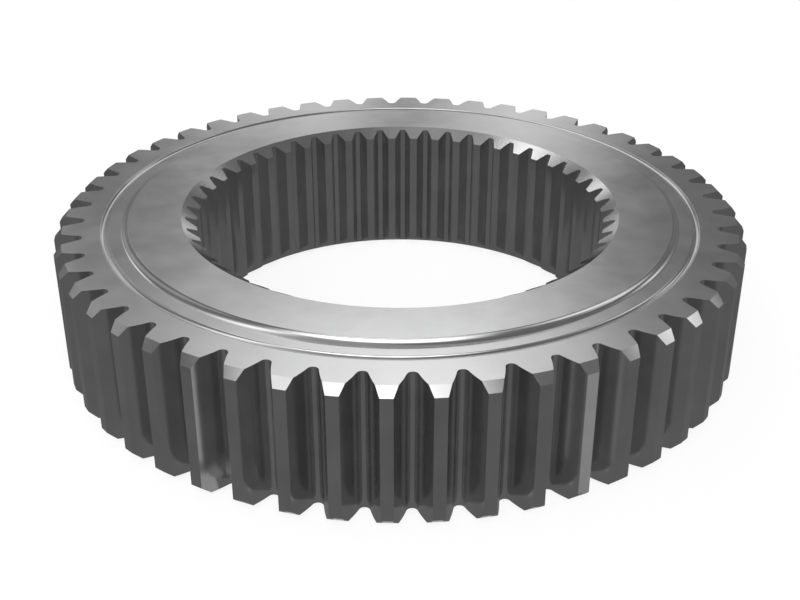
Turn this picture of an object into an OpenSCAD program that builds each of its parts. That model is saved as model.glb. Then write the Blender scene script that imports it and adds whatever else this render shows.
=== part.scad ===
// Sun gear of a planetary drive: one steel ring with straight involute teeth outside, an involute
// spline in the bore, and on each side a raised hub face inside a turned groove.
// It lies flat on its lower hub face, with the axis along Z and the origin on the axis at the bottom.

/* [Teeth] */
// Number of outer teeth
tooth_count = 50; // [44:1:60]
// Module of the outer teeth: pitch diameter over number of teeth
tooth_module = 5.08; // [4.6:0.01:5.6]
// Pressure angle of the outer teeth, in degrees
pressure_angle = 22.5; // [20:0.1:25]
// Height of a tooth above the pitch circle
addendum = 5.5; // [4.5:0.1:6.2]
// Depth of a tooth space below the pitch circle
dedendum = 5.25; // [4.6:0.05:5.9]
// Profile shift in modules, which thickens the teeth
profile_shift = 0.29; // [0:0.01:0.4]
// Radius of the fillet at the foot of each flank, where two of them fit side by side
root_fillet = 1.9; // [0.5:0.05:2.2]
// Width of the 45 degree chamfer across the tooth ends
tip_chamfer = 3; // [1:0.1:4.4]
// Width of the toothed rim, along the axis
face_width = 52.4; // [35:0.1:80]

/* [Sides] */
// Width of the flat land between the tooth spaces and the turned groove
rim_land = 6.75; // [3:0.05:12]
// Width of the groove at its mouth
groove_width = 2.5; // [1.5:0.1:3.5]
// Depth of the groove
groove_depth = 0.7; // [0.3:0.05:1]
// Width of the flat band between the groove and the hub's cove
band_width = 4.9; // [2:0.1:12]
// Radius of the cove round the hub
cove_radius = 2.75; // [2.65:0.05:4]
// How far each hub face stands out from the toothed rim
hub_rise = 2; // [1:0.1:2.6]

/* [Spline] */
// Number of teeth of the spline in the bore
spline_count = 51; // [40:1:58]
// Module of the spline: pitch diameter over number of teeth
spline_module = 3.175; // [2.7:0.005:3.6]
// Pressure angle of the spline, in degrees
spline_angle = 30; // [26:0.5:34]
// Height of the spline's teeth inside its pitch circle
spline_addendum = 1.95; // [1:0.05:2.4]
// Depth of the spline's spaces outside its pitch circle
spline_dedendum = 2.25; // [1.5:0.05:2.6]
// Width of a spline space along its pitch circle
spline_space = 4.65; // [4.4:0.05:5]
// Radius of the corners at the bottom of a spline space
spline_corner = 0.4; // [0.2:0.05:0.6]
// Turn of the spline against the outer teeth, in degrees
spline_turn = 2.6; // [0:0.1:7]
// Width of the bore's chamfer outside the spline's spaces
mouth_land = 1.5; // [0.5:0.1:6]
// Depth of the bore's chamfer, along the axis
bore_chamfer = 3.5; // [2:0.1:5]

/* [Hidden] */

// Steps along a tooth flank and a spline flank, and round a fillet, a corner and a turned arc
tooth_steps = 4;
spline_steps = 2;
fillet_steps = 4;
corner_steps = 2;
arc_steps = 6;
// Least flat left between the two fillets of a tooth space
root_land = 0.08;
// How far the cutters run past what they cut
overrun = 1;

pitch_r = tooth_module * tooth_count / 2;
tip_r = pitch_r + addendum;
root_r = pitch_r - dedendum;
groove_r = root_r - rim_land - groove_width / 2;
hub_foot_r = groove_r - groove_width / 2 - band_width;
spline_r = spline_module * spline_count / 2;
spline_minor_r = spline_r - spline_addendum;
spline_major_r = spline_r + spline_dedendum;
bore_mouth_r = spline_major_r + mouth_land;
height = face_width + 2 * hub_rise;
steel = [0.62, 0.62, 0.63];

function polar(r, a) = [r * cos(a), r * sin(a)];
function degrees_of(x) = x * 180 / PI;
function reversed(list) = [for (i = [len(list) - 1 : -1 : 0]) list[i]];

// The involute function, in degrees
function inv(a) = degrees_of(tan(a)) - a;
// Half the angle that a tooth spans on its base circle, from its thickness on the pitch circle
function base_half_angle(thick, r, pressure) = degrees_of(thick / 2 / r) + inv(pressure);
// Length of the tangent from radius r to the base circle; on the flank it is the unwound arc
function tangent_length(r, base_r) = sqrt(r * r - base_r * base_r);
// A point at distance l along the tangent that leaves the base circle at angle a
function on_tangent(base_r, a, l) = polar(sqrt(base_r * base_r + l * l), a + atan(l / base_r));

// The flank between two unwound lengths. A length l leaves the base circle at half - l / base_r.
function flank(base_r, half, l0, l1, steps) = [
    for (i = [0 : steps])
        let (l = l0 + (l1 - l0) * i / steps)
            on_tangent(base_r, half - degrees_of(l / base_r), l)
];

// Where the tangent through the fillet's centre leaves the base circle. The centre lies on the flank's
// normal, so its tangent length is the flank's own length plus the fillet's radius.
function fillet_leave(base_r, half, centre_l, fillet) = half - degrees_of((centre_l - fillet) / base_r);
// How far the fillet's centre is turned from the middle of the tooth
function fillet_turn(base_r, half, in_r, fillet) =
    let (centre_l = tangent_length(in_r + fillet, base_r))
        fillet_leave(base_r, half, centre_l, fillet) + atan(centre_l / base_r);
// The wanted fillet or, found by halving, the largest one that leaves room for its neighbour
function fitting_fillet(base_r, half, in_r, wanted, room, least = 0, tries = 12) =
    fillet_turn(base_r, half, in_r, wanted) <= room ? wanted
        : tries == 0 ? least
        : let (middle = (least + wanted) / 2)
            fillet_turn(base_r, half, in_r, middle) <= room
                ? fitting_fillet(base_r, half, in_r, wanted, room, middle, tries - 1)
                : fitting_fillet(base_r, half, in_r, middle, room, least, tries - 1);

// Half of an outer tooth, from the flank's outer end to the root circle
function tooth_half(base_r, half, out_r, in_r, fillet) =
    let (
        centre_l = tangent_length(in_r + fillet, base_r),
        leave = fillet_leave(base_r, half, centre_l, fillet),
        centre = on_tangent(base_r, leave, centre_l),
        from = leave - 90,
        to = leave + atan(centre_l / base_r) - 180
    )
    concat(
        flank(base_r, half, tangent_length(out_r, base_r), centre_l - fillet, tooth_steps),
        [for (i = [1 : fillet_steps]) centre + polar(fillet, from + (to - from) * i / fillet_steps)]
    );

// Half of a spline space, from its rounded bottom corner to the flank's inner end
function space_half(base_r, half, out_r, in_r, corner) =
    let (
        centre_l = tangent_length(out_r - corner, base_r),
        top_l = centre_l + corner,
        leave = half - degrees_of(top_l / base_r),
        centre = on_tangent(base_r, leave, centre_l),
        from = leave + atan(centre_l / base_r),
        to = leave + 90
    )
    concat(
        [for (i = [0 : corner_steps - 1]) centre + polar(corner, from + (to - from) * i / corner_steps)],
        flank(base_r, half, top_l, tangent_length(in_r, base_r), spline_steps)
    );

// A whole ring of teeth from one half, mirrored and turned
function ring(half, count) = [
    for (k = [0 : count - 1])
        let (turn = k * 360 / count, c = cos(turn), s = sin(turn))
            each [
                for (p = concat(reversed([for (q = half) [q[0], -q[1]]]), half))
                    [c * p[0] - s * p[1], s * p[0] + c * p[1]]
            ]
];

// Points on an arc, without its first point
function arc(centre, r, from, to) = [
    for (i = [1 : arc_steps]) centre + polar(r, from + (to - from) * i / arc_steps)
];

// Angle at which the cove reaches the hub face, and the radius of the face there
cove_end = acos((cove_radius - hub_rise) / cove_radius);
hub_face_r = hub_foot_r - cove_radius * sin(cove_end);
// Radius of the groove's round bottom and half the angle that it spans
groove_half = groove_width / 2;
groove_bottom_r = (groove_half * groove_half + groove_depth * groove_depth) / (2 * groove_depth);
groove_span = asin(groove_half / groove_bottom_r);

// One side of the turned section, from the bore's chamfer out to the tip chamfer, with the hub face
// at height 0 and the material above it
function side_section() = concat(
    [[spline_minor_r, bore_chamfer], [bore_mouth_r, 0], [hub_face_r, 0]],
    arc([hub_foot_r, hub_rise - cove_radius], cove_radius, 90 + cove_end, 90),
    [[groove_r - groove_half, hub_rise]],
    arc([groove_r, hub_rise + groove_depth - groove_bottom_r], groove_bottom_r,
        90 + groove_span, 90 - groove_span),
    [[tip_r - tip_chamfer, hub_rise], [tip_r, hub_rise + tip_chamfer]]
);

// The blank as turned, before the teeth and the spline are cut
module blank() {
    lower = side_section();
    rotate_extrude($fn = 360)
        polygon(concat(lower, reversed([for (p = lower) [p[0], height - p[1]]])));
}

// The outline of the outer teeth, run past the tips so that the blank's own rim bounds them
module tooth_outline() {
    base_r = pitch_r * cos(pressure_angle);
    thickness = tooth_module * (PI / 2 + 2 * profile_shift * tan(pressure_angle));
    half = base_half_angle(thickness, pitch_r, pressure_angle);
    room = 180 / tooth_count - degrees_of(root_land / 2 / root_r);
    fillet = fitting_fillet(base_r, half, root_r, root_fillet, room);
    polygon(ring(tooth_half(base_r, half, tip_r + overrun, root_r, fillet), tooth_count));
}

// The outline of the spline's spaces, run inwards past the tips of its teeth
module spline_outline() {
    base_r = spline_r * cos(spline_angle);
    half = base_half_angle(spline_space, spline_r, spline_angle);
    polygon(ring(space_half(base_r, half, spline_major_r, spline_minor_r - overrun, spline_corner),
        spline_count));
}

module sun_gear() {
    color(steel)
        difference() {
            intersection() {
                blank();
                linear_extrude(height) tooth_outline();
            }
            translate([0, 0, -overrun])
                linear_extrude(height + 2 * overrun)
                    rotate(spline_turn) spline_outline();
        }
}

sun_gear();
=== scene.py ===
import math

import bpy
import numpy as np
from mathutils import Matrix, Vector


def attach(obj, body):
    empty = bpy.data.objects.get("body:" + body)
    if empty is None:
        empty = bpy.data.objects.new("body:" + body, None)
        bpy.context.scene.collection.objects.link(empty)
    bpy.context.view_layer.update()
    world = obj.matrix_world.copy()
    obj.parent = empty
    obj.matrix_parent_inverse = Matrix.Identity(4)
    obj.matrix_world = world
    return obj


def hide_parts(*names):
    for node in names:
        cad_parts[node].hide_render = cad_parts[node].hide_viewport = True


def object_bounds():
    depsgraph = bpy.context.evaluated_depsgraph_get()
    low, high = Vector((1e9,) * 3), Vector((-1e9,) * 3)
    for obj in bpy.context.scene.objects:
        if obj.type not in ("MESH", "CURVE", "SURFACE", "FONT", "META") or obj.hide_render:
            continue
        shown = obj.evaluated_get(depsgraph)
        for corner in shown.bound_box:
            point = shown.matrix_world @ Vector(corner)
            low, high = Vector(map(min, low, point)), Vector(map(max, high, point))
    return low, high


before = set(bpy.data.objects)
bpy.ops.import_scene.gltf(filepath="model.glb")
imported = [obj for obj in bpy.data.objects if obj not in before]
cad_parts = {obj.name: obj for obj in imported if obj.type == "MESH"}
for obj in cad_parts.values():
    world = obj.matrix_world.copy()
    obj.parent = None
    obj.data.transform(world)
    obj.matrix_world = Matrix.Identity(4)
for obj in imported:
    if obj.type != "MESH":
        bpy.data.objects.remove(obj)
cadLow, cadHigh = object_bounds()
tau = 2 * math.pi

# Lengths in metres and angles in degrees. The gear's height and tip radius come from the frame.
teeth = {
    "count": 50,
    "module": 0.00508,
    "pressureAngle": 22.5,
    "profileShift": 0.29,
    "depth": 0.01075,       # from the tips to the bottom of the tooth spaces
    "addendum": 0.0055,
    "rootFillet": 0.0019,
    "tipChamfer": 0.003,
    "chamferSteps": 3,
    "flankSteps": 10,
    "filletSteps": 8,
    "tipSteps": 4,
}
sides = {
    "rimLand": 0.00675,     # flat between the tooth spaces and the groove
    "grooveWidth": 0.0025,
    "grooveDepth": 0.0007,
    "bandWidth": 0.0049,    # flat between the groove and the cove
    "coveRadius": 0.00275,
    "hubRise": 0.002,
    "edgeBreak": 0.00018,   # rounding of the hub's and the groove's edges
    "breakSteps": 4,
    "grooveSteps": 8,
    "coveSteps": 10,
}
spline = {
    "count": 51,
    "module": 0.003175,
    "pressureAngle": 30,
    "addendum": 0.00195,
    "dedendum": 0.00225,
    "space": 0.00465,       # width of a space along the pitch circle
    "corner": 0.0004,
    "turn": 2.6,
    "mouthLand": 0.0015,    # flat of the chamfer outside the spaces
    "chamferDepth": 0.0035,
    "cornerSteps": 3,
    "flankSteps": 4,
    "bottomSteps": 2,
    "landSteps": 3,
    "coneSteps": 3,
}

height = cadHigh.z
tipRadius = cadHigh.x
rimTop = height - sides["hubRise"]
chamferRadius = tipRadius - teeth["tipChamfer"]
rootRadius = tipRadius - teeth["depth"]


# Angle between the radius to a point of an involute and the line to where it leaves the base circle:
# tan(a) - a, where cos(a) is base radius over radius
def involuteTurn(radius, baseRadius):
    a = np.arccos(baseRadius / radius)
    return np.tan(a) - a


# The length of the tangent from a radius to the base circle
def tangentLength(radius, baseRadius):
    return np.sqrt(radius ** 2 - baseRadius ** 2)


# A point at distance l along the tangent that leaves the base circle at angle a, as a complex number
def onTangent(baseRadius, a, l):
    return (baseRadius + 1j * l) * np.exp(1j * a)


# An involute flank at the given radii, and its normals. An involute's normal lies along the tangent to
# its base circle, and the tangent leaves that circle at half - l / baseRadius.
def flankAt(radii, baseRadius, half):
    l = tangentLength(radii, baseRadius)
    leave = half - l / baseRadius
    return onTangent(baseRadius, leave, l), 1j * np.exp(1j * leave)


# Half a tooth about +X: the flank from the tip to the chamfer's inner edge and on to its foot, then the
# fillet, whose centre lies on the normal of the flank's foot
def toothHalf(s):
    pitchRadius = tipRadius - s["addendum"]
    pressure = math.radians(s["pressureAngle"])
    baseRadius = pitchRadius * math.cos(pressure)
    thickness = s["module"] * (math.pi / 2 + 2 * s["profileShift"] * math.tan(pressure))
    half = thickness / 2 / pitchRadius + involuteTurn(pitchRadius, baseRadius)
    fillet = s["rootFillet"]
    centreLength = tangentLength(rootRadius + fillet, baseRadius)
    footLength = centreLength - fillet
    leave = half - footLength / baseRadius
    centre = onTangent(baseRadius, leave, centreLength)
    radii = np.concatenate([
        np.linspace(tipRadius, chamferRadius, s["chamferSteps"] + 1),
        np.linspace(chamferRadius, math.hypot(baseRadius, footLength), s["flankSteps"] + 1)[1:],
    ])
    flank, flankNormal = flankAt(radii, baseRadius, half)
    turn = np.linspace(leave - math.pi / 2, np.angle(centre) - math.pi, s["filletSteps"] + 1)[1:]
    points = np.concatenate([flank, centre + fillet * np.exp(1j * turn)])
    return points, np.concatenate([flankNormal, -np.exp(1j * turn)])


# Half a spline space about +X: its bottom corner, then the flank in to the teeth's tips
def spaceHalf(s, pitchRadius, minorRadius, majorRadius):
    pressure = math.radians(s["pressureAngle"])
    baseRadius = pitchRadius * math.cos(pressure)
    half = s["space"] / 2 / pitchRadius + involuteTurn(pitchRadius, baseRadius)
    corner = s["corner"]
    centreLength = tangentLength(majorRadius - corner, baseRadius)
    topLength = centreLength + corner
    leave = half - topLength / baseRadius
    centre = onTangent(baseRadius, leave, centreLength)
    turn = np.linspace(np.angle(centre), leave + math.pi / 2, s["cornerSteps"] + 1)[:-1]
    radii = np.linspace(math.hypot(baseRadius, topLength), minorRadius, s["flankSteps"] + 1)
    flank, flankNormal = flankAt(radii, baseRadius, half)
    points = np.concatenate([centre + corner * np.exp(1j * turn), flank])
    return points, np.concatenate([-np.exp(1j * turn), -flankNormal])


# Copies of an outline turned about the axis, one row for each
def turned(outline, count, start=0.0):
    return outline * np.exp(1j * (start + tau * np.arange(count) / count))[:, None]


# Complex outline points and heights as x, y, z
def lift(points, z):
    return np.stack(np.broadcast_arrays(points.real, points.imag, z), -1).astype(float)


# The surface is gathered as patches: points, normals and faces that count from the patch's first point
patches = []


def addPatch(points, normals, faces):
    patches.append((points.reshape(-1, 3), normals.reshape(-1, 3), faces))


# A grid of quads over the last two axes of points, repeated for each copy along the first
def addGrid(points, normals):
    copies, rows, columns = points.shape[:3]
    index = np.arange(copies * rows * columns).reshape(copies, rows, columns)
    quads = np.stack([index[:, :-1, :-1], index[:, :-1, 1:], index[:, 1:, 1:], index[:, 1:, :-1]], -1)
    addPatch(points, normals, quads.reshape(-1, 4))


# A wall that runs straight up from bottom to top along an outline
def addWall(outline, normal, bottom, top):
    points = np.stack([lift(outline, bottom), lift(outline, top)], 1)
    addGrid(points, np.stack([lift(normal, 0.0)] * 2, 1))


# A flat ring between two closed outlines with any numbers of points. Both run round in step: each point,
# in the order of the angles, makes a triangle with its neighbour and the other outline's last point.
def addFlatRing(outer, inner, z, up):
    def fromStart(loop):
        first = np.argmin(np.angle(loop) % tau)
        return np.roll(loop, -first)

    outer, inner = fromStart(outer), fromStart(inner)
    n, m = len(outer), len(inner)
    order = np.argsort(np.concatenate([np.angle(outer) % tau, np.angle(inner) % tau]), kind="stable")
    isOuter = order < n
    lastOuter = (np.cumsum(isOuter) - 1) % n
    lastInner = (np.cumsum(~isOuter) - 1) % m
    triangles = np.where(
        isOuter[:, None],
        np.stack([lastOuter, (lastOuter - 1) % n, lastInner + n], -1),
        np.stack([lastInner + n, (lastInner - 1) % m + n, lastOuter], -1),
    )
    points = lift(np.concatenate([outer, inner]), z)
    addPatch(points, np.broadcast_to([0.0, 0.0, up], points.shape).copy(), triangles)


# Adds a patch of the upper side and its mirror image on the lower side
def addBothSides(adder, points, normals):
    adder(points, normals)
    adder(points * [1, 1, -1] + [0, 0, height], normals * [1, 1, -1])


# Closes a grid that runs round the axis
def closed(grid):
    return np.concatenate([grid, grid[..., :1, :]], -2)


def addTeeth():
    s = teeth
    half, halfNormal = toothHalf(s)
    count = s["count"]
    pitch = np.exp(1j * tau / count)
    topOf = lambda points: rimTop - np.maximum(0, np.abs(points) - chamferRadius)
    # A tooth space runs from one tooth's tip to the next, and a tip land from flank to flank
    space = np.concatenate([half, (half.conj() * pitch)[::-1]])
    spaceNormal = np.concatenate([halfNormal, (halfNormal.conj() * pitch)[::-1]])
    across = np.linspace(-1, 1, s["tipSteps"] + 1)
    tip = tipRadius * np.exp(1j * np.angle(half[0]) * across)
    for outline, normal in ((space, spaceNormal), (tip, tip / tipRadius)):
        outline, normal = turned(outline, count), turned(normal, count)
        top = topOf(outline)
        addWall(outline, normal, height - top, top)
    # The chamfer across a tooth's end: radius along one parameter, and the share of the tooth's
    # thickness at that radius along the other
    rows = half[:s["chamferSteps"] + 1]
    chamfer = np.abs(rows)[:, None] * np.exp(1j * np.angle(rows)[:, None] * across)
    chamfer = turned(chamfer.reshape(-1), count).reshape(count, *chamfer.shape)
    normals = lift(chamfer / np.abs(chamfer), 1.0) / math.sqrt(2)
    addBothSides(addGrid, lift(chamfer, topOf(chamfer)), normals)
    # The flat side's outline leaves out what the chamfer takes
    flat = half[s["chamferSteps"]:]
    land = chamferRadius * np.exp(1j * np.angle(flat[0]) * across[1:-1])
    return turned(np.concatenate([flat.conj()[::-1], land, flat]), count).reshape(-1)


def addBore():
    s = spline
    count = s["count"]
    pitch = tau / count
    start = math.radians(s["turn"])
    pitchRadius = s["module"] * count / 2
    minorRadius = pitchRadius - s["addendum"]
    majorRadius = pitchRadius + s["dedendum"]
    mouthRadius = majorRadius + s["mouthLand"]
    slope = s["chamferDepth"] / (mouthRadius - minorRadius)
    topOf = lambda points: height - (mouthRadius - np.abs(points)) * slope
    half, halfNormal = spaceHalf(s, pitchRadius, minorRadius, majorRadius)
    across = np.linspace(-1, 1, s["bottomSteps"] + 1)[1:-1]
    bottom = majorRadius * np.exp(1j * np.angle(half[0]) * across)
    space = np.concatenate([half.conj()[::-1], bottom, half])
    spaceNormal = np.concatenate([halfNormal.conj()[::-1], -bottom / majorRadius, halfNormal])
    edge = np.angle(half[-1])
    land = minorRadius * np.exp(1j * np.linspace(edge, pitch - edge, s["landSteps"] + 1))
    for outline, normal in ((space, spaceNormal), (land, -land / minorRadius)):
        outline, normal = turned(outline, count, start), turned(normal, count, start)
        top = topOf(outline)
        addWall(outline, normal, height - top, top)
    # The chamfer's cone: radius and angle go in even steps from the spline's outline to the mouth,
    # where the columns stand evenly about each space
    loop = np.concatenate([space, land[1:-1]])
    even = (np.arange(len(loop)) - (len(space) - 1) / 2) * pitch / len(loop)
    step = np.linspace(0, 1, s["coneSteps"] + 1)[:, None]
    radius = np.abs(loop) + (mouthRadius - np.abs(loop)) * step
    cone = radius * np.exp(1j * (np.angle(loop) + (even - np.angle(loop)) * step))
    cone = turned(cone.reshape(-1), count, start).reshape(count, *cone.shape)
    cone = cone.transpose(1, 0, 2).reshape(1, len(step), -1)
    normals = lift(-slope * cone / np.abs(cone), 1.0) / math.hypot(1, slope)
    addBothSides(addGrid, closed(lift(cone, topOf(cone))), closed(normals))
    return cone[0, -1]


# Points on an arc of the turned section and its normals, which point to the arc's centre if inside
def arc(centre, radius, start, end, steps):
    a = np.radians(np.linspace(start, end, steps + 1))
    out = np.stack([np.cos(a), np.sin(a)], -1)
    return np.array(centre) + radius * out, -out


# Rounds the corner where a flat ends on a curve. Both are cut back by the same length, and a parabola
# with its control point on the corner joins them.
def breakEdge(flat, flatNormal, curve, curveNormal, s):
    corner = flat[1].copy()
    for line, end, inner in ((flat, 1, 0), (curve, 0, 1)):
        way = line[inner] - corner
        line[end] = corner + way * s["edgeBreak"] / np.hypot(*way)
    t = np.linspace(0, 1, s["breakSteps"] + 1)[:, None]
    points = flat[1] * (1 - t) ** 2 + corner * 2 * t * (1 - t) + curve[0] * t ** 2
    normals = flatNormal[1] * (1 - t) + curveNormal[0] * t
    return flat, (points, normals / np.linalg.norm(normals, axis=1)[:, None])


# The upper side's turned section from the bore's mouth out to the groove, carried round the axis
def addSides(mouth, toothOutline):
    s = sides
    halfWidth = s["grooveWidth"] / 2
    grooveRadius = rootRadius - s["rimLand"] - halfWidth
    footRadius = grooveRadius - halfWidth - s["bandWidth"]
    coveEnd = math.degrees(math.acos(1 - s["hubRise"] / s["coveRadius"]))
    bottomRadius = (halfWidth ** 2 + s["grooveDepth"] ** 2) / (2 * s["grooveDepth"])
    span = math.degrees(math.asin(halfWidth / bottomRadius))
    cove, coveNormal = arc((footRadius, rimTop + s["coveRadius"]), s["coveRadius"],
                           -90 - coveEnd, -90, s["coveSteps"])
    groove, grooveNormal = arc((grooveRadius, rimTop - s["grooveDepth"] + bottomRadius), bottomRadius,
                               -90 - span, -90 + span, s["grooveSteps"])
    up = np.array([[0.0, 1.0]] * 2)
    hub, hubBreak = breakEdge(np.array([[np.abs(mouth[0]), height], cove[0]]), up, cove, coveNormal, s)
    band, innerBreak = breakEdge(np.array([cove[-1], groove[0]]), up, groove, grooveNormal, s)
    rim, outerBreak = breakEdge(np.array([[rootRadius, rimTop], groove[-1]]), up,
                                groove[::-1], grooveNormal[::-1], s)
    direction = mouth / np.abs(mouth)
    for profile, normal in ((hub, up), hubBreak, (cove, coveNormal), (band, up), innerBreak,
                            (groove, grooveNormal), outerBreak):
        points = lift(profile[None, :, :1] * direction, profile[None, :, 1:])
        normals = lift(normal[None, :, :1] * direction, normal[None, :, 1:])
        addBothSides(addGrid, closed(points), closed(normals))
    rim = rim[1, 0] * direction
    addFlatRing(toothOutline, rim, rimTop, 1.0)
    addFlatRing(toothOutline, rim, height - rimTop, -1.0)


# Joins the patches into one closed mesh: faces are turned to agree with their normals, and points of
# neighbouring patches that are the same to a tenth of a micrometre become one
def meshFromPatches(name):
    stepsPerMetre = 1e7
    corners, totals, normals, points = [], [], [], []
    first = 0
    for patchPoints, patchNormals, faces in patches:
        a, b, c = (patchPoints[faces[:, k]] for k in range(3))
        wrong = np.einsum("ij,ij->i", np.cross(b - a, c - b), patchNormals[faces].mean(1)) < 0
        faces = np.where(wrong[:, None], faces[:, ::-1], faces)
        points.append(patchPoints)
        normals.append(patchNormals[faces].reshape(-1, 3))
        corners.append((faces + first).reshape(-1))
        totals.append(np.full(len(faces), faces.shape[1]))
        first += len(patchPoints)
    points, totals = np.concatenate(points), np.concatenate(totals)
    steps = np.round(points * stepsPerMetre)
    _, kept, same = np.unique(steps, axis=0, return_index=True, return_inverse=True)
    corners = same.reshape(-1)[np.concatenate(corners)]
    mesh = bpy.data.meshes.new(name)
    mesh.vertices.add(len(kept))
    mesh.vertices.foreach_set("co", points[kept].astype(np.float32).ravel())
    mesh.loops.add(len(corners))
    mesh.loops.foreach_set("vertex_index", corners.astype(np.int32))
    mesh.polygons.add(len(totals))
    mesh.polygons.foreach_set("loop_start", (np.cumsum(totals) - totals).astype(np.int32))
    mesh.update(calc_edges=True)
    mesh.shade_smooth()
    mesh.normals_split_custom_set(np.concatenate(normals).astype(np.float32))
    mesh.update()
    return mesh


toothOutline = addTeeth()
mouth = addBore()
addSides(mouth, toothOutline)
gear = bpy.data.objects.new("sunGear", meshFromPatches("sunGear"))
bpy.context.scene.collection.objects.link(gear)
print("gear mesh:", len(gear.data.vertices), "points,", len(gear.data.polygons), "faces")


# A socket of a node tree. Sums and products of sockets and numbers add Math nodes.
class Shade:
    def __init__(self, tree, socket=None):
        self.tree = tree
        self.socket = socket

    # Any node: its settings are set first, then each input gets a value or a link
    def node(self, kind, settings=None, inputs=None, output=0):
        made = self.tree.nodes.new(kind)
        for name, value in (settings or {}).items():
            setattr(made, name, value)
        for name, value in (inputs or {}).items():
            if isinstance(value, Shade):
                self.tree.links.new(value.socket, made.inputs[name])
            else:
                made.inputs[name].default_value = value
        return Shade(self.tree, made.outputs[output])

    def math(self, operation, *values):
        return self.node("ShaderNodeMath", {"operation": operation}, dict(enumerate(values)))

    # The part of a vector along x, y or z
    def part(self, axis):
        return self.node("ShaderNodeSeparateXYZ", inputs={0: self}, output="XYZ".index(axis))

    def __add__(self, other):
        return self.math("ADD", self, other)

    def __sub__(self, other):
        return self.math("SUBTRACT", self, other)

    def __rsub__(self, other):
        return self.math("SUBTRACT", other, self)

    def __mul__(self, other):
        return self.math("MULTIPLY", self, other)

    __radd__ = __add__
    __rmul__ = __mul__


# A material with an empty tree, the tree's first Shade and the surface input of its output
def newMaterial(name):
    material = bpy.data.materials.new(name)
    material.use_nodes = True
    tree = material.node_tree
    tree.nodes.clear()
    surface = tree.nodes.new("ShaderNodeOutputMaterial").inputs["Surface"]
    # Glowing surfaces are left to the rays that hit them, which gives the least noise in the metal
    material.cycles.emission_sampling = "NONE"
    return material, Shade(tree), surface


steel = {
    "dark": (0.53, 0.53, 0.535, 1),
    "light": (0.63, 0.63, 0.635, 1),
    "roughness": 0.18,
    "clouds": 0.016,            # size of the soft patches in colour and shine
    "streaks": 0.003,           # width of the streaks down the walls
    "streakLength": 25,         # their length, in widths
    "streakShare": 0.12,        # how strongly they tell beside the clouds
    "range": (0.25, 0.75),      # of the noise, from the dark colour to the light one
    "change": 0.04,             # how far the roughness changes with it
    # Painted shade: the walls of the tooth spaces are darkened in colour to stand in for the shade between
    # the teeth
    "paintedSpaceShade": 0.08,            # how much darker the tooth spaces are than the rest
    "spaceShadeEdge": 0.0002,          # how far they stay so inside the tips and outside the roots
    "grain": 0.0008,            # size and height of the grain on the bore's chamfers
    "grainHeight": 0.00003,
    "grainReach": 0.0851,       # radius up to which it goes
    "wallBelow": 0.5,           # a face that looks less up or down than this is a wall
    "chamferAt": 0.7,           # and one that looks up or down by about this much is a chamfer
    "chamferWithin": 0.25,
}


def gearSteel(s):
    material, add, surface = newMaterial("gearSteel")
    place = add.node("ShaderNodeTexCoord", output="Object")
    upness = add.math("ABSOLUTE", add.node("ShaderNodeNewGeometry", output="Normal").part("Z"))
    onWall = add.math("LESS_THAN", upness, s["wallBelow"])
    onChamfer = add.math("COMPARE", upness, s["chamferAt"], s["chamferWithin"])
    flatPlace = add.node("ShaderNodeVectorMath", {"operation": "MULTIPLY"}, {0: place, 1: (1, 1, 0)})
    radius = add.node("ShaderNodeVectorMath", {"operation": "LENGTH"}, {0: flatPlace}, "Value")
    # The tooth spaces, whose walls get the painted shade
    inSpace = add.math("COMPARE", radius, (rootRadius + tipRadius) / 2,
                       (tipRadius - rootRadius) / 2 - s["spaceShadeEdge"])
    clouds = add.node("ShaderNodeTexNoise", inputs={
        "Vector": place, "Scale": 1 / s["clouds"], "Detail": 4.0, "Roughness": 0.55})
    drawnOut = add.node("ShaderNodeMapping", inputs={
        "Vector": place, "Scale": (1, 1, 1 / s["streakLength"])})
    streaks = add.node("ShaderNodeTexNoise", inputs={
        "Vector": drawnOut, "Scale": 1 / s["streaks"], "Detail": 2.0})
    # Random tone and streaks of the steel, with painted shade that darkens the walls of the tooth spaces
    toneAndPaintedShade = clouds + onWall * ((streaks - 0.5) * s["streakShare"] - inSpace * s["paintedSpaceShade"])
    share = add.node("ShaderNodeMapRange", inputs={
        "Value": toneAndPaintedShade, "From Min": s["range"][0], "From Max": s["range"][1]})
    colour = add.node("ShaderNodeMix", {"data_type": "RGBA"}, {0: share, 6: s["dark"], 7: s["light"]}, 2)
    grain = add.node("ShaderNodeTexNoise", inputs={
        "Vector": place, "Scale": 1 / s["grain"], "Detail": 1.0})
    inBore = add.math("LESS_THAN", radius, s["grainReach"])
    grained = add.node("ShaderNodeBump", inputs={
        "Height": grain * onChamfer * inBore, "Distance": s["grainHeight"], "Strength": 1.0})
    shader = add.node("ShaderNodeBsdfPrincipled", inputs={
        "Base Color": colour,
        "Metallic": 1.0,
        "Roughness": (share - 0.5) * s["change"] + s["roughness"],
        "Normal": grained,
    })
    material.node_tree.links.new(shader.socket, surface)
    return material


gear.data.materials.append(gearSteel(steel))
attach(gear, "root")
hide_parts("sun_gear")
print("steel done")

# The camera stands where the photograph was taken from
view = {"azimuth": -91.836, "distance": 0.45086, "height": 0.25779, "down": 28.455, "lens": 56.61}


def placeCamera(s):
    camera = bpy.data.objects.new("camera", bpy.data.cameras.new("camera"))
    a = math.radians(s["azimuth"])
    camera.location = (s["distance"] * math.cos(a), s["distance"] * math.sin(a), s["height"])
    camera.rotation_euler = (math.radians(90 - s["down"]), 0, a + math.pi / 2)
    camera.data.lens = s["lens"]
    camera.data.sensor_width = 36
    camera.data.clip_start = 0.01
    bpy.context.scene.collection.objects.link(camera)
    bpy.context.scene.camera = camera


placeCamera(view)

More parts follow.
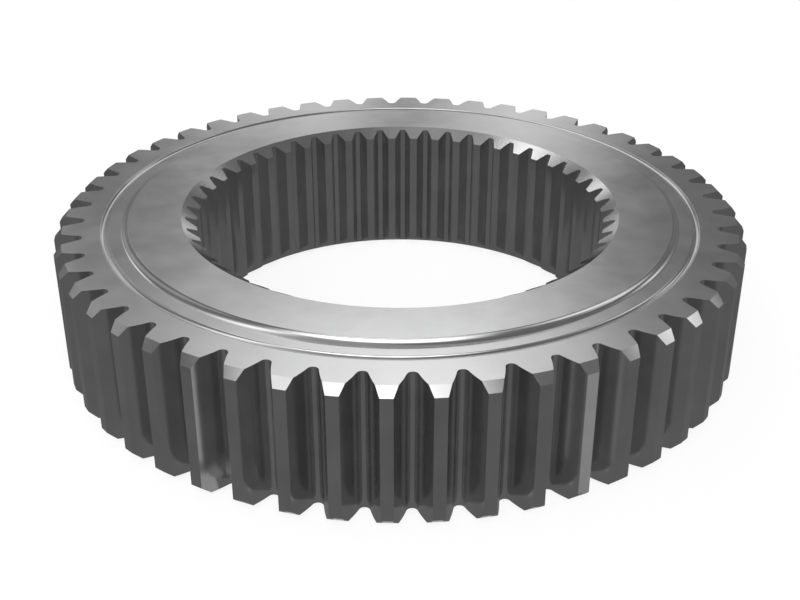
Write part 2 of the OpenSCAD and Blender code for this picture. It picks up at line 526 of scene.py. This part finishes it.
# Soft boxes, by the direction of their middle seen from the gear, half their width and height as
# tangents, the share of these over which the face fades to its edge, its light and its turn
softBoxes = {
    "front": {
        "azimuth": -100, "elevation": 38.5, "size": (0.86, 0.63), "soft": 0.93, "light": 3.5, "turn": 14},
    "frontRight": {
        "azimuth": -70, "elevation": 18, "size": (0.5, 0.41), "soft": 1, "light": 0.95, "turn": 14},
    "right": {
        "azimuth": -13, "elevation": 17.5, "size": (0.9, 0.28), "soft": 1, "light": 1.45, "turn": 1},
    "rightHigh": {
        "azimuth": 8, "elevation": 30, "size": (0.4, 0.08), "soft": 1, "light": 1.8, "turn": -36},
    "back": {
        "azimuth": 88, "elevation": 34.5, "size": (0.31, 0.18), "soft": 1, "light": 1.57, "turn": -11},
    "backRight": {
        "azimuth": 48, "elevation": 33.5, "size": (0.27, 0.15), "soft": 1, "light": 1.35, "turn": 4},
    "backLeft": {
        "azimuth": 114, "elevation": 30.5, "size": (0.16, 0.07), "soft": 0.5, "light": 1.3, "turn": 18},
    "lowRight": {
        "azimuth": 81, "elevation": 14.5, "size": (0.12, 0.38), "soft": 1, "light": 0.95, "turn": -13},
    "lowLeft": {
        "azimuth": 93.5, "elevation": 13.5, "size": (0.13, 0.15), "soft": 0.35, "light": 0.8, "turn": -28},
    "left": {
        "azimuth": 159, "elevation": 21.5, "size": (0.93, 0.21), "soft": 0.3, "light": 0.24, "turn": 0},
    "strip": {
        "azimuth": 160, "elevation": 60.5, "size": (1.23, 0.15), "soft": 1, "light": 1.75, "turn": 5},
    "ceiling": {
        "azimuth": 157, "elevation": 70, "size": (1.15, 0.47), "soft": 0.3, "light": 0.21, "turn": 2},
}
studio = {
    "lampDistance": 12.0,
    "tentRadius": 20.0,
    "tentLow": 0.22,
    "tentHigh": 0.19,
    "tentShade": 0.15,          # how much darker the tent is towards the back right
    "shadeAzimuth": 40,
    "tentSteps": 24,
    "cloth": 0.153,
    "clothByTeeth": 0.17,       # its light by the teeth, and the radii over which this fades
    "fade": (0.128, 0.15),
    "clothBehind": 0.8,         # its share of light behind the gear, and the y over which it gets there
    "behind": (-0.07, 0.02),
    "clothInBore": 0.152,
    "clothStart": 0.117,        # radius from which it lies round the gear, and up to which in the bore
    "clothEnd": 0.0875,
    "clothLift": 0.0001,
    "floorDrop": 0.0001,        # keeps the floor out of the plane of the lower hub face
    "floorRings": (0, 0.5, 2, 60),
    "floorGlow": 0.86,
    "floorColour": (0.2, 0.2, 0.2, 1),
}


# An area lamp that looks at the gear. Its face is even in the middle and fades softly to the edges.
def softBox(name, s):
    lamp = bpy.data.lights.new(name, "AREA")
    lamp.shape = "RECTANGLE"
    lamp.size, lamp.size_y = (2 * size * studio["lampDistance"] for size in s["size"])
    lamp.energy = s["light"] * math.pi * lamp.size * lamp.size_y
    lamp.use_nodes = True
    tree = lamp.node_tree
    add = Shade(tree)
    place = add.node("ShaderNodeNewGeometry", output="Parametric")
    across, along = (
        add.node("ShaderNodeMapRange", {"interpolation_type": "SMOOTHSTEP"}, {
            "Value": 0.5 - add.math("ABSOLUTE", place.part(axis) - 0.5), "From Max": s["soft"] / 2})
        for axis in "XY"
    )
    tree.links.new((across * along).socket, tree.nodes["Emission"].inputs["Strength"])
    a, e = math.radians(s["azimuth"]), math.radians(s["elevation"])
    toward = Vector((math.cos(a) * math.cos(e), math.sin(a) * math.cos(e), math.sin(e)))
    holder = bpy.data.objects.new(name, lamp)
    holder.location = toward * studio["lampDistance"]
    holder.rotation_euler = (math.pi / 2 - e, 0, a + math.pi / 2)
    holder.rotation_euler.rotate_axis("Z", math.radians(s["turn"]))
    holder.visible_camera = False
    bpy.context.scene.collection.objects.link(holder)


for name, box in softBoxes.items():
    softBox(name, box)
print("lamps done")


# A disc on the floor, or a dome over it: rings about the axis, radius and height by the step
def addStage(name, radii, heights, material, columns=96):
    turn = np.exp(1j * tau * np.arange(columns) / columns)
    points = lift(np.array(radii)[:, None] * turn, np.array(heights)[:, None]).reshape(-1, 3)
    index = np.arange(len(points)).reshape(len(radii), columns)
    after = np.roll(index, -1, 1)
    quads = np.stack([index[:-1], after[:-1], after[1:], index[1:]], -1).reshape(-1, 4)
    mesh = bpy.data.meshes.new(name)
    mesh.from_pydata(points, [], quads.tolist())
    mesh.materials.append(material)
    thing = bpy.data.objects.new(name, mesh)
    bpy.context.scene.collection.objects.link(thing)
    return thing


# White to the camera and in what metal and glass show. Its diffuse share keeps the gear's shadow.
def floorWhite(s):
    material, add, surface = newMaterial("floorWhite")
    seen = add.math("MAXIMUM", add.node("ShaderNodeLightPath", output="Is Camera Ray"),
                    add.math("MAXIMUM", add.node("ShaderNodeLightPath", output="Is Glossy Ray"),
                             add.node("ShaderNodeLightPath", output="Is Transmission Ray")))
    paper = add.node("ShaderNodeBsdfDiffuse", inputs={"Color": s["floorColour"]})
    glow = add.node("ShaderNodeEmission", inputs={"Color": (1, 1, 1, 1), "Strength": seen * s["floorGlow"]})
    both = add.node("ShaderNodeAddShader", inputs={0: paper, 1: glow})
    material.node_tree.links.new(both.socket, surface)
    return material


# A material that only glows, with a number or a Shade as its light
def glowing(name, lightFrom):
    material, add, surface = newMaterial(name)
    place = add.node("ShaderNodeTexCoord", output="Object")
    glow = add.node("ShaderNodeEmission", inputs={"Strength": lightFrom(add, place)})
    material.node_tree.links.new(glow.socket, surface)
    return material


# The tent's light goes from low at the floor to high at the top, and falls towards the back right
def tentLight(add, place):
    s = studio
    a = math.radians(s["shadeAzimuth"])
    toBack = add.node("ShaderNodeVectorMath", {"operation": "DOT_PRODUCT"}, {
        0: place, 1: (math.cos(a) / s["tentRadius"], math.sin(a) / s["tentRadius"], 0)}, "Value")
    light = place.part("Z") * ((s["tentHigh"] - s["tentLow"]) / s["tentRadius"]) + s["tentLow"]
    return light * (1 - add.math("MAXIMUM", toBack, 0.0) * s["tentShade"])


# The cloth on the floor is lighter by the teeth and darker behind the gear
def clothLight(add, place):
    s = studio
    radius = add.node("ShaderNodeVectorMath", {"operation": "LENGTH"}, {0: place}, "Value")
    light = add.node("ShaderNodeMapRange", inputs={
        "Value": radius, "From Min": s["fade"][0], "From Max": s["fade"][1],
        "To Min": s["clothByTeeth"], "To Max": s["cloth"]})
    share = add.node("ShaderNodeMapRange", inputs={
        "Value": place.part("Y"), "From Min": s["behind"][0], "From Max": s["behind"][1],
        "To Min": 1.0, "To Max": s["clothBehind"]})
    return light * share


# Small cards, which show in the metal as soft light lines. Two stand beside a tooth and glow towards it,
# and one lies under the gap between two teeth.
standingCards = {
    "cardLeft": {
        "middle": (-0.0524, -0.1254), "facing": 145, "half": 0.0016, "foot": 0.001, "top": 0.046,
        "light": 0.45},
    "cardRight": {
        "middle": (0.0608, -0.1223), "facing": 152.5, "half": 0.0034, "foot": 0.001, "top": 0.05,
        "light": 0.36},
}
lyingCard = {
    "start": (-0.0665, -0.1125), "toward": -33, "length": 0.0132, "half": 0.0042, "lift": 0.0002,
    "light": 0.42}
pads = {"inner": 0.1272, "outer": 0.1302, "half": 0.8, "lift": 0.0003, "light": 0.5}


# A card that only the metal shows, and only from the side to which its normal points
def addCard(name, points, quads, light):
    material, add, surface = newMaterial(name)
    glow = add.node("ShaderNodeEmission", inputs={"Strength": light})
    back = add.node("ShaderNodeNewGeometry", output="Backfacing")
    clear = add.node("ShaderNodeBsdfTransparent")
    shader = add.node("ShaderNodeMixShader", inputs={0: back, 1: glow, 2: clear})
    material.node_tree.links.new(shader.socket, surface)
    mesh = bpy.data.meshes.new(name)
    mesh.from_pydata(points, [], quads)
    mesh.materials.append(material)
    card = bpy.data.objects.new(name, mesh)
    card.visible_camera = card.visible_diffuse = card.visible_shadow = False
    bpy.context.scene.collection.objects.link(card)


def placeCards():
    for name, s in standingCards.items():
        across = s["half"] * 1j * np.exp(1j * math.radians(s["facing"]))
        corners = complex(*s["middle"]) + np.array([-across, across, across, -across])
        heights = np.array([s["foot"], s["foot"], s["top"], s["top"]])
        addCard(name, lift(corners, heights), [(0, 1, 2, 3)], s["light"])
    s = lyingCard
    side = 1j * s["half"]
    corners = np.array([-side, s["length"] - side, s["length"] + side, side])
    corners = complex(*s["start"]) + np.exp(1j * math.radians(s["toward"])) * corners
    addCard("cardLying", lift(corners, s["lift"]), [(0, 1, 2, 3)], s["light"])
    # A white pad under each tooth, which shows in the chamfer of its lower end
    s = pads
    half = np.exp(1j * math.radians(s["half"]))
    corners = np.array([s["inner"] / half, s["outer"] / half, s["outer"] * half, s["inner"] * half])
    corners = turned(corners, teeth["count"]).reshape(-1)
    quads = np.arange(len(corners)).reshape(-1, 4).tolist()
    addCard("toothPads", lift(corners, s["lift"]), quads, s["light"])


def buildStudio(s):
    rings = s["floorRings"]
    addStage("floor", rings, [-s["floorDrop"]] * len(rings), floorWhite(s))
    rise = np.linspace(0, math.pi / 2, s["tentSteps"] + 1)
    tent = addStage("tent", s["tentRadius"] * np.cos(rise), s["tentRadius"] * np.sin(rise),
                    glowing("tentCloth", tentLight))
    tent.visible_camera = False
    # A grey cloth lies on the floor round the gear and inside its bore, and only the metal shows it
    inBore = glowing("clothInBore", lambda add, place: s["clothInBore"])
    for name, radii, material in (
        ("clothAround", [s["clothStart"], rings[1], s["tentRadius"]], glowing("clothAround", clothLight)),
        ("clothInBore", [0, s["clothEnd"]], inBore),
    ):
        cloth = addStage(name, radii, [s["clothLift"]] * len(radii), material)
        cloth.visible_camera = cloth.visible_diffuse = cloth.visible_shadow = False


buildStudio(studio)
placeCards()

world = bpy.data.worlds.new("world")
world.use_nodes = True
world.node_tree.nodes["Background"].inputs["Color"].default_value = (1, 1, 1, 1)
bpy.context.scene.world = world
bpy.context.scene.view_settings.view_transform = "Standard"

print("scene done")
